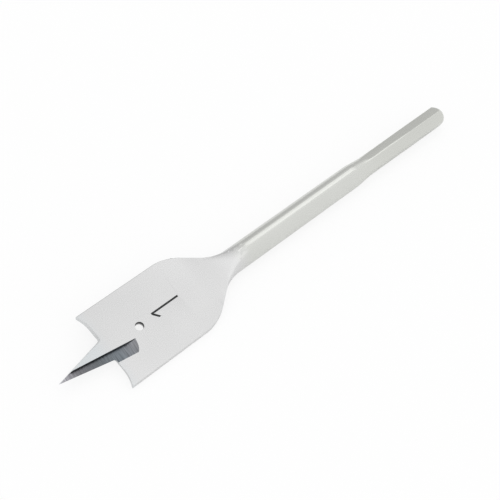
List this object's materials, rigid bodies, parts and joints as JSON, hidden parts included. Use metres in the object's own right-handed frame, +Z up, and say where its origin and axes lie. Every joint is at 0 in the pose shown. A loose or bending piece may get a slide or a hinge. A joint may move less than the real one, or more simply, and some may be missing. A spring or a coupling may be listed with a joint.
{
  "type": "spade drill bit",
  "caption": "Flat spade bit for boring wood: a pointed blade with cutting lips and spurs, forged on a round shaft that ends in a hexagonal shank.",
  "frame": {"origin": "centre of the bit's length and width, on the surface that it lies on", "axes": "+X along the bit's axis from the point to the shank, +Z up from the surface that it lies on, +Y level across it. The blade is rolled 13.25 degrees about X, because the bit comes to rest on its shaft and on one edge of the blade."},
  "size_m": [0.158, 0.0252, 0.0077],
  "materials": {
    "bit_steel": "satin, with bare ground grooves beside the point"
  },
  "bodies": {
    "root": {"spade_bit": "bit_steel"}
  },
  "joints": []
}
